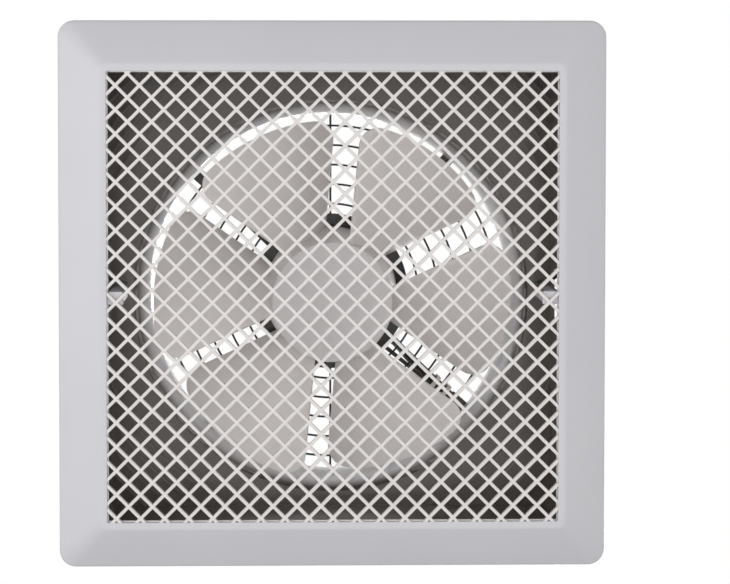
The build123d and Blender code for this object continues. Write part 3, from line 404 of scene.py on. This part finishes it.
# Rear guard
# Steel rings, thin spokes and doubled arms, spot-welded to a pressed disc that carries the motor,
# and enamelled black together. Four flat tabs are screwed down on the ring's bosses.
wire_radius = 0.75
wire_level = 62.05
wire_sides = 10
wire_fewest_steps = 64
wire_steps_per_mm = 1.2
rim_radius = 130.35
guard_radii = (62.0, 75.8, 89.6, 103.4, 117.2, rim_radius)
spoke_angles = (0, 90, 180, 270)
spoke_radius = 0.8
spoke_level = 63.2
spoke_inner = 50.0
arm_radius = 1.5
arm_level = 63.9
arm_inner = 46.0
arm_outer = 124.0
arm_inner_spread = 4.6
arm_sides = 12
bend_lap = 0.1
bend_steps = 10
tab_inner = 113.0
tab_outer = 139.3
tab_half = 4.5
tab_levels = (61.0, 63.0)
tab_round = 0.4
disc_bore = 14.0
disc_radius = 55.0
disc_levels = (61.85, 63.85)
disc_round = 0.9
bore_round = 0.4

black_enamel, tree, shader = surface("black_stove_enamel")
speckle = noise(tree, scale=900.0, detail=2.0)
vary_roughness(tree, shader, speckle, 0.26, 0.42)
add_bump(tree, shader, speckle, strength=0.15, depth=0.05)
shader.inputs["Base Color"].default_value = colour("1B1A19")
shader.inputs["Coat Weight"].default_value = 0.3
shader.inputs["Coat Roughness"].default_value = 0.2


def block(bm, low, high, round_edges=0.0):
    """A box between two corners, its edges eased where a radius is given."""
    verts = bmesh.ops.create_cube(bm, size=1.0)["verts"]
    size = [b - a for a, b in zip(low, high)]
    middle = [(a + b) / 2 for a, b in zip(low, high)]
    bmesh.ops.scale(bm, verts=verts, vec=size)
    bmesh.ops.translate(bm, verts=verts, vec=middle)
    if round_edges:
        edges = list(dict.fromkeys(edge for vert in verts for edge in vert.link_edges))
        bmesh.ops.bevel(bm, geom=edges, offset=round_edges, segments=2, profile=0.5,
                        affect="EDGES", material=-1)


def swept_wire(bm, radius, sides, axis, place, centre, angle, steps, closed):
    """A round wire swept by this angle about the upright line through a centre.

    It starts from a level circle, stood on edge by a quarter turn about an axis and then placed.
    """
    section = bmesh.ops.create_circle(bm, cap_ends=False, segments=sides, radius=radius)["verts"]
    bmesh.ops.rotate(bm, verts=section, matrix=Matrix.Rotation(math.pi / 2, 3, axis))
    bmesh.ops.translate(bm, verts=section, vec=place)
    edges = list(dict.fromkeys(edge for vert in section for edge in vert.link_edges))
    bmesh.ops.spin(bm, geom=section + edges, cent=centre, axis=(0, 0, 1), dvec=(0, 0, 0),
                   angle=angle, steps=steps, use_merge=closed)


bm = bmesh.new()
for radius in guard_radii:
    steps = max(wire_fewest_steps, int(radius * wire_steps_per_mm))
    swept_wire(bm, wire_radius, wire_sides, "X", (radius, 0, wire_level), (0, 0, 0), math.tau,
               steps, closed=True)
for angle in spoke_angles:
    spoke = rod(bm, (spoke_inner, 0, spoke_level), (rim_radius, 0, spoke_level), spoke_radius)
    turn_about_axis(bm, spoke, angle)
bend_start = arm_outer - bend_lap
for angle in guard_angles:
    before = set(bm.verts)
    for side in (1, -1):
        inner_end = (arm_inner, side * arm_inner_spread, arm_level)
        outer_end = (arm_outer, side * arm_radius, arm_level)
        rod(bm, inner_end, outer_end, arm_radius, arm_sides)
    swept_wire(bm, arm_radius, arm_sides, "Y", (bend_start, -arm_radius, arm_level),
               (bend_start, 0, arm_level), math.pi, bend_steps, closed=False)
    block(bm, (tab_inner, -tab_half, tab_levels[0]), (tab_outer, tab_half, tab_levels[1]), tab_round)
    turn_about_axis(bm, [vert for vert in bm.verts if vert not in before], angle)
spun(bm, [
    (disc_bore, disc_levels[0], bore_round),
    (disc_radius, disc_levels[0], disc_round),
    (disc_radius, disc_levels[1], disc_round),
    (disc_bore, disc_levels[1], bore_round),
], steps=96)
guard = finished(bm, "wire_guard", black_enamel, 50, drop=fan_drop)
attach(guard, "housing")
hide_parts("rear_guard")


# Screws, nuts and washers
# Pan-head steel screws and plain hexagon nuts, barrelled zinc-plated: bright, a little blue and
# faintly mottled.
zinc_plate, tree, shader = surface("zinc_plated_steel")
mottle = noise(tree, scale=700.0, detail=3.0)
blend_colours(tree, shader, mottle, "B9BCC0", "D4D5D6")
vary_roughness(tree, shader, mottle, 0.24, 0.44)
shader.inputs["Metallic"].default_value = 1.0


def dress(material, *nodes):
    """Gives CAD nodes whose shape stays this material."""
    for node in nodes:
        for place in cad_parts[node].material_slots:
            place.material = material


dress(zinc_plate, "ring_screws", "guard_screws", "clip_screws", "impeller_washer", "impeller_nut",
      "motor_bolts", "motor_nuts", "lid_screws", "box_screws", "capacitor_screw")


# Motor
# A shell of drawn steel each side of a stack of laminations, held by four long bolts through
# rubber grommets. The shells wear the guard's black enamel, and the stack's edges are varnished.
eased_copy("motor_front_shell", "front_shell", black_enamel, 0.3, "housing")
eased_copy("motor_rear_shell", "rear_shell", black_enamel, 0.3, "housing")

# The laminations' sheets show as fine level lines.
lamination = 0.5
core_steel, tree, shader = surface("varnished_lamination_steel")
place = add_node(tree, "ShaderNodeTexCoord").outputs["Object"]
levels = add_node(tree, "ShaderNodeSeparateXYZ", links={"Vector": place})
sheets = add_node(tree, "ShaderNodeMath", operation="MULTIPLY",
                  values={1: 1 / (lamination * MM)}, links={0: levels.outputs["Z"]})
seam = add_node(tree, "ShaderNodeMath", operation="PINGPONG", values={1: 0.5},
                links={0: sheets.outputs[0]})
blend_colours(tree, shader, seam.outputs[0], "2A2A2C", "6B6B6E")
add_bump(tree, shader, seam.outputs[0], strength=0.5, depth=0.1)
shader.inputs["Metallic"].default_value = 0.6
shader.inputs["Roughness"].default_value = 0.45
dress(core_steel, "stator_core", "rotor")

# The windings' turns show as bands of lighter and darker copper.
copper_wire, tree, shader = surface("enamelled_copper_wire")
turns = add_node(tree, "ShaderNodeTexWave", values={"Scale": 320.0, "Distortion": 1.5, "Detail": 2.0},
                 links={"Vector": add_node(tree, "ShaderNodeTexCoord").outputs["Object"]},
                 bands_direction="Z")
blend_colours(tree, shader, turns.outputs["Fac"], "6E2E12", "B4602C")
add_bump(tree, shader, turns.outputs["Fac"], strength=0.6, depth=0.3)
shader.inputs["Metallic"].default_value = 0.5
shader.inputs["Roughness"].default_value = 0.35
dress(copper_wire, "stator_windings")

ground_steel, tree, shader = surface("ground_bright_steel")
vary_roughness(tree, shader, noise(tree, scale=1500.0, detail=1.0), 0.12, 0.28)
shader.inputs["Base Color"].default_value = colour("C9CBCE")
shader.inputs["Metallic"].default_value = 1.0
dress(ground_steel, "motor_shaft", "drive_pin", "front_bearing", "rear_bearing")

moulded_rubber = moulded_plastic("moulded_black_rubber", "1E1D1D", "161515", 0.72, 0.4)
dress(moulded_rubber, "motor_grommets", "lead_bush")
sheath = moulded_plastic("black_pvc_sheath", "232324", "1B1B1C", 0.5, 1.2)
dress(sheath, "motor_lead", "capacitor_lead")
nylon = moulded_plastic("natural_white_nylon", "E4E2D8", "D9D7CC", 0.45, 0.6)
dress(nylon, "thermal_fuse", "terminal_block", "lead_ties", "lead_saddles")


# Impeller
# Six pitched blades on a hub, moulded in one piece of warm off-white polypropylene, satin.
# A web and six ribs tie the hub to a boss on the shaft, and a plain grey-white cap closes its face.
blade_count = 6
blade_turn = 360 / blade_count
blade_share = math.radians(180 / blade_count)
blade_first_angle = 54.8
blade_gap = 17.0
blade_rise = 47.0
blade_middle = 32.0
blade_thickness = 2.0
blade_camber = 0.07
blade_spread = 1.18
blade_round = 0.7
blade_runs = 30
blade_bands = 16
blade_settling_rounds = 8
root_overlap = 1.2
root_rounds = 3
sharp_radians = 1.0
tip_radius = 121.0
leading_corner = 13.0
trailing_corner = 12.0
hub_face = 2.0
hub_rear = 56.0
hub_face_radius = 40.5
hub_rear_radius = 46.5
hub_wall = 2.3
web_low = 26.0
web_high = 29.0
shaft_bore = 4.02
shaft_boss_radius = 10.0
shaft_boss_low = 15.8
shaft_boss_top = 53.0
hub_rib_inner = 9.0
hub_rib_half = 1.0
hub_rib_low = 28.0
hub_rib_top = 48.0
hub_rib_round = 0.3
cap_seat = 4.1
cap_pinhole = 0.05
plug_gap = 0.3
plug_wall = 1.7
plug_top = 9.1

warm_polypropylene = moulded_plastic("warm_white_polypropylene", "EBE6E4", "E3DEDC", 0.42, 0.7)
cap_polypropylene = moulded_plastic("grey_white_polypropylene", "D8D5D6", "D0CDCE", 0.42, 0.7)


def hub_radius(level):
    """The hub's outer radius at a level."""
    widening = (hub_rear_radius - hub_face_radius) * (level - hub_face) / (hub_rear - hub_face)
    return hub_face_radius + widening


def blade_edge_angle(radius, corner):
    """The angle from the blade's middle line to its edge at a radius, round the tip's corner."""
    centre = tip_radius - corner
    centre_angle = blade_share - math.asin((blade_gap / 2 + corner) / centre)
    corner_start = math.sqrt(centre ** 2 - (blade_gap / 2 + corner) ** 2 + (blade_gap / 2) ** 2)
    if radius <= corner_start:
        return blade_share - math.asin(blade_gap / 2 / radius)
    turn = (radius ** 2 + centre ** 2 - corner ** 2) / (2 * radius * centre)
    return centre_angle + math.acos(min(1.0, turn))


def blade_level(x, y):
    """The height of the blade's middle surface over a point of its plan, along +X."""
    half_chord = blade_spread * (x * math.tan(blade_share) - blade_gap / 2 / math.cos(blade_share))
    half_rise = blade_spread * blade_rise / 2
    length = math.hypot(half_chord, half_rise)
    sag = blade_camber * 2 * length
    share = y / half_chord
    for _ in range(blade_settling_rounds):
        share = (y - sag * (1 - share ** 2) * half_rise / length) / half_chord
    return blade_middle + share * half_rise - sag * (1 - share ** 2) * half_chord / length


# One blade is a flat grid, its rows closer together towards the tip, that is bent to the blade's
# middle surface and thickened. The root follows the hub's cone, so its place is found in rounds.
bm = bmesh.new()
bmesh.ops.create_grid(bm, x_segments=blade_runs, y_segments=blade_bands, size=1.0)
for vert in bm.verts:
    along = math.sin((vert.co.x + 1) * math.pi / 4)
    across = vert.co.y
    root = hub_radius(blade_middle) - root_overlap
    for _ in range(root_rounds):
        radius = root + (tip_radius - root) * along
        low_angle = -blade_edge_angle(radius, leading_corner)
        high_angle = blade_edge_angle(radius, trailing_corner)
        angle = low_angle + (high_angle - low_angle) * (across + 1) / 2
        x = radius * math.cos(angle)
        y = radius * math.sin(angle)
        level = blade_level(x, y)
        root = hub_radius(level) - root_overlap
    vert.co = (x, y, level)
bm.normal_update()
for vert in bm.verts:
    vert.co = vert.co - vert.normal * blade_thickness / 2
bmesh.ops.solidify(bm, geom=bm.faces[:], thickness=-blade_thickness)
bm.normal_update()
rim = [edge for edge in bm.edges
       if len(edge.link_faces) == 2 and edge.calc_face_angle(0) > sharp_radians]
bmesh.ops.bevel(bm, geom=rim, offset=blade_round, segments=2, profile=0.5, affect="EDGES",
                material=-1, clamp_overlap=True)
bmesh.ops.recalc_face_normals(bm, faces=bm.faces)
one_blade = bpy.data.meshes.new("one_blade")
bm.to_mesh(one_blade)
bm.free()

bm = bmesh.new()
for step in range(blade_count):
    before = set(bm.verts)
    bm.from_mesh(one_blade)
    blade = [vert for vert in bm.verts if vert not in before]
    turn_about_axis(bm, blade, blade_first_angle + blade_turn * step)
bpy.data.meshes.remove(one_blade)
spun(bm, [
    (hub_radius(cap_seat) - hub_wall, cap_seat, 0),
    (hub_radius(cap_seat), cap_seat, 0.3),
    (hub_rear_radius, hub_rear, 0.6),
    (hub_rear_radius - hub_wall, hub_rear, 0.6),
    (hub_radius(web_high) - hub_wall, web_high, 1.0),
    (shaft_boss_radius, web_high, 1.5),
    (shaft_boss_radius, shaft_boss_top, 0.6),
    (shaft_bore, shaft_boss_top, 0.3),
    (shaft_bore, shaft_boss_low, 0.3),
    (shaft_boss_radius, shaft_boss_low, 0.6),
    (shaft_boss_radius, web_low, 1.5),
    (hub_radius(web_low) - hub_wall, web_low, 1.0),
], steps=96)
hub_rib_outer = hub_radius(web_high) - hub_wall / 2
for step in range(blade_count):
    before = set(bm.verts)
    block(bm, (hub_rib_inner, -hub_rib_half, hub_rib_low),
          (hub_rib_outer, hub_rib_half, hub_rib_top), hub_rib_round)
    rib = [vert for vert in bm.verts if vert not in before]
    turn_about_axis(bm, rib, blade_first_angle + blade_turn * step)
impeller = finished(bm, "impeller_moulding", warm_polypropylene, 40, drop=fan_drop)
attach(impeller, "fan")
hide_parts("impeller")

# The cap's profile stops just short of the axis, and its plug reaches into the hub.
bm = bmesh.new()
plug_radius = hub_radius(cap_seat) - hub_wall - plug_gap
spun(bm, [
    (cap_pinhole, hub_face, 0),
    (hub_face_radius, hub_face, 1.1),
    (hub_face_radius, cap_seat, 0.2),
    (plug_radius, cap_seat, 0),
    (plug_radius, plug_top, 0.3),
    (plug_radius - plug_wall, plug_top, 0.3),
    (plug_radius - plug_wall, cap_seat, 0.4),
    (cap_pinhole, cap_seat, 0),
], steps=96)
cap = finished(bm, "hub_face", cap_polypropylene, drop=fan_drop)
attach(cap, "fan")
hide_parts("hub_cap")


# Spring clips
# Two bent strips of blued spring steel, screwed outside the side walls. Each nose reaches in
# through a window and grips the surround's post.
blued_steel, tree, shader = surface("blued_spring_steel")
blend_colours(tree, shader, noise(tree, scale=160.0, detail=3.0), "34363B", "55575C")
shader.inputs["Metallic"].default_value = 1.0
shader.inputs["Roughness"].default_value = 0.34
eased_copy("spring_clip_right", "right_clip", blued_steel, 0.15, "housing", 60)
eased_copy("spring_clip_left", "left_clip", blued_steel, 0.15, "housing", 60)


# Terminal box
# A box and lid moulded in black ABS, the lid held by screws and the box screwed to the plate. It
# holds a clamping block and a brass earth screw, and the mains cable enters by its gland.
box_abs = moulded_plastic("black_abs", "232323", "1B1B1B", 0.45, 0.7)
eased_copy("terminal_box", "connection_box", box_abs, 0.4, "housing")
eased_copy("box_lid", "connection_box_lid", box_abs, 0.3, "housing")
eased_copy("cable_gland", "gland", box_abs, 0.3, "housing")

brass, tree, shader = surface("turned_brass")
vary_roughness(tree, shader, noise(tree, scale=1200.0, detail=1.0), 0.18, 0.34)
shader.inputs["Base Color"].default_value = colour("D3B26A")
shader.inputs["Metallic"].default_value = 1.0
dress(brass, "terminal_screws", "earth_screw")


# Running capacitor
# A pale grey moulded case under a zinc-plated strap with one screwed foot. Its lead runs along
# the plate's edge to the terminal box.
case_plastic = moulded_plastic("pale_grey_capacitor_case", "C6C8CC", "BCBEC3", 0.35, 0.6)
eased_copy("capacitor", "capacitor_case", case_plastic, 0.6, "housing", 60)
eased_copy("capacitor_strap", "strap", zinc_plate, 0.15, "housing", 60)


# Front frame
# A square surround moulded in pale grey ABS: an upright skirt round the ceiling flange, a broad
# slope and a narrow flat land round the grille. Two hollow posts behind it plug into the pan.
frame_half = 182.0
frame_corner = 11.0
frame_wall = 2.2
skirt_low = -4.5
skirt_round = 3.2
rim_level = -0.5
land_half = 153.0
land_corner = 5.5
land_back = -17.2
land_round = 5.0
opening_half = 148.2
opening_corner = 0.9
edge_round = 0.5
corner_runs = 8
post_inner = 138.0
post_outer = 148.8
post_across = (-3.5, 5.0)
post_top = 14.0
post_wall = 1.8
post_lap = 0.5
post_round = 0.4
lug_over_land = 3.0
lug_levels = (-16.9, -14.3)
lug_round = 0.5
support_angles = (0, 90, 180, 270)
support_offset = 100.0
support_half = 1.5
support_inner = 168.0
support_outer = 176.0
support_low = -10.5
support_top = -2.8

pale_abs = moulded_plastic("pale_grey_abs", "D0CFD3", "CAC9CE", 0.5, 0.6)


def square_loop(bm, half, corner, level):
    """A closed loop of edges round a square with rounded corners."""
    level_limit = 1e-6
    made = bmesh.ops.create_grid(bm, x_segments=1, y_segments=1, size=half)
    bmesh.ops.bevel(bm, geom=made["verts"], offset=corner, segments=corner_runs, profile=0.5,
                    affect="VERTICES", material=-1)
    outline = [face for face in bm.faces
               if len(face.edges) > 4 and all(abs(vert.co.z) < level_limit for vert in face.verts)]
    edges = list(outline[-1].edges)
    verts = list(outline[-1].verts)
    bmesh.ops.delete(bm, geom=[outline[-1]], context="FACES_ONLY")
    for vert in verts:
        vert.co.z = level
    return edges


def fitted(vert, old, new):
    """Moves a loop's corner point from one (half, corner, level) to another."""
    for axis in (0, 1):
        side = math.copysign(1, vert.co[axis])
        share = (abs(vert.co[axis]) - (old[0] - old[1])) / old[1]
        vert.co[axis] = side * (new[0] - new[1] + share * new[1])
    vert.co.z = new[2]


def swept_square(bm, profile):
    """A closed wall that follows the profile of (half, corner, level) all round the square."""
    first = square_loop(bm, *profile[0])
    loop = first
    for old, new in zip(profile, profile[1:]):
        made = bmesh.ops.extrude_edge_only(bm, edges=loop)["geom"]
        verts = {part for part in made if isinstance(part, bmesh.types.BMVert)}
        for vert in verts:
            fitted(vert, old, new)
        edges = [part for part in made if isinstance(part, bmesh.types.BMEdge)]
        loop = [edge for edge in edges if all(vert in verts for vert in edge.verts)]
    bmesh.ops.bridge_loops(bm, edges=first + loop)


# The slope's back runs parallel to its front, one wall's thickness behind it.
slope = (skirt_low - face_level) / (frame_half - land_half)
wall_height = frame_wall * math.hypot(1, slope)
inner_half = frame_half - frame_wall
inner_high = skirt_low + wall_height - frame_wall * slope
land_inner = inner_half - (inner_high - land_back) / slope

bm = bmesh.new()
swept_square(bm, rounded_profile([
    (inner_half, frame_corner - frame_wall, rim_level, 0),
    (frame_half, frame_corner, rim_level, edge_round),
    (frame_half, frame_corner, skirt_low, skirt_round),
    (land_half, land_corner, face_level, land_round),
    (opening_half, opening_corner, face_level, edge_round),
    (opening_half, opening_corner, land_back, 0),
    (land_inner, land_corner, land_back, 0),
    (inner_half, frame_corner - frame_wall, inner_high, 0),
]))

for side in (1, -1):
    ends = sorted((side * post_inner, side * (opening_half + lug_over_land)))
    block(bm, (ends[0], post_across[0], lug_levels[0]), (ends[1], post_across[1], lug_levels[1]),
          lug_round)
    ends = sorted((side * post_inner, side * post_outer))
    walls = (
        ((ends[0], post_across[0]), (ends[1], post_across[0] + post_wall)),
        ((ends[0], post_across[1] - post_wall), (ends[1], post_across[1])),
        ((ends[0], post_across[0]), (ends[0] + post_wall, post_across[1])),
        ((ends[1] - post_wall, post_across[0]), (ends[1], post_across[1])),
    )
    for low, high in walls:
        block(bm, (*low, lug_levels[1] - post_lap), (*high, post_top), post_round)

# The support ribs' lower faces follow the slope's back.
for angle in support_angles:
    for offset in (support_offset, -support_offset):
        before = set(bm.verts)
        block(bm, (support_inner, offset - support_half, support_low),
              (support_outer, offset + support_half, support_top))
        made = [vert for vert in bm.verts if vert not in before]
        for vert in made:
            if vert.co.z < (support_low + support_top) / 2:
                vert.co.z += slope * (vert.co.x - support_inner)
        turn_about_axis(bm, made, angle)

surround = finished(bm, "front_surround", pale_abs)
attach(surround, "cover")
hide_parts("front_frame")


# Grille insert
# A diagonal lattice moulded in a warmer white ABS, set flush in the frame's opening. Its bars
# are flat on the face and rounded over at both edges, so each one darkens towards its sides.
lattice_pitch = 15.8
lattice_drop = 3.4
lattice_thickness = 2.8
bar_width = 2.9
bar_round = 0.4
insert_half = 148.15
cells_across = 42
insert_lip_inner = 147.5
insert_lip_outer = 150.9
insert_lip_levels = (-17.2, -15.6)
insert_lip_round = 0.3
notch_gap = 0.3

warm_abs = moulded_plastic("warm_white_abs", "E1DDDB", "DBD7D5", 0.42, 0.5)

bm = bmesh.new()
cell = lattice_pitch / math.sqrt(2)
grid_half = cell * cells_across / 2
bmesh.ops.create_grid(bm, x_segments=cells_across, y_segments=cells_across, size=grid_half)
bmesh.ops.rotate(bm, verts=bm.verts, matrix=Matrix.Rotation(math.radians(45), 3, "Z"))
bmesh.ops.translate(bm, verts=bm.verts, vec=(0, lattice_drop, 0))
cells = list(bm.faces)
bmesh.ops.inset_individual(bm, faces=cells, thickness=bar_width / 2)
bmesh.ops.delete(bm, geom=cells, context="FACES")
for way in ((1, 0, 0), (-1, 0, 0), (0, 1, 0), (0, -1, 0)):
    bmesh.ops.bisect_plane(bm, geom=bm.verts[:] + bm.edges[:] + bm.faces[:],
                           plane_co=Vector(way) * insert_half, plane_no=way, clear_outer=True)
bmesh.ops.dissolve_limit(bm, angle_limit=math.radians(1), verts=bm.verts, edges=bm.edges)
bmesh.ops.translate(bm, verts=bm.verts, vec=(0, 0, face_level))
raised = bmesh.ops.extrude_face_region(bm, geom=bm.faces[:], use_keep_orig=True)["geom"]
raised = [part for part in raised if isinstance(part, bmesh.types.BMVert)]
bmesh.ops.translate(bm, verts=raised, vec=(0, 0, lattice_thickness))
bmesh.ops.recalc_face_normals(bm, faces=bm.faces)
near = 0.01
front_edges = []
for edge in bm.edges:
    at_front = all(vert.co.z < face_level + near for vert in edge.verts)
    at_land = any(all(abs(abs(vert.co[axis]) - insert_half) < near for vert in edge.verts)
                  for axis in (0, 1))
    is_corner = len(edge.link_faces) == 2 and edge.calc_face_angle(0) > sharp_radians
    if at_front and is_corner and not at_land:
        front_edges.append(edge)
bmesh.ops.bevel(bm, geom=front_edges, offset=bar_round, segments=3, profile=0.5,
                affect="EDGES", material=-1, clamp_overlap=True)

# A lip behind the frame's land holds the insert, with a notch for each post's lug.
low, high = insert_lip_levels
notch = (post_across[0] - notch_gap, post_across[1] + notch_gap)
for side in (1, -1):
    ends = sorted((side * insert_lip_inner, side * insert_lip_outer))
    block(bm, (-insert_lip_outer, ends[0], low), (insert_lip_outer, ends[1], high), insert_lip_round)
    for run in ((-insert_lip_inner, notch[0]), (notch[1], insert_lip_inner)):
        block(bm, (ends[0], run[0], low), (ends[1], run[1], high), insert_lip_round)
grille = finished(bm, "lattice", warm_abs)
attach(grille, "cover")
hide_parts("grille_insert")
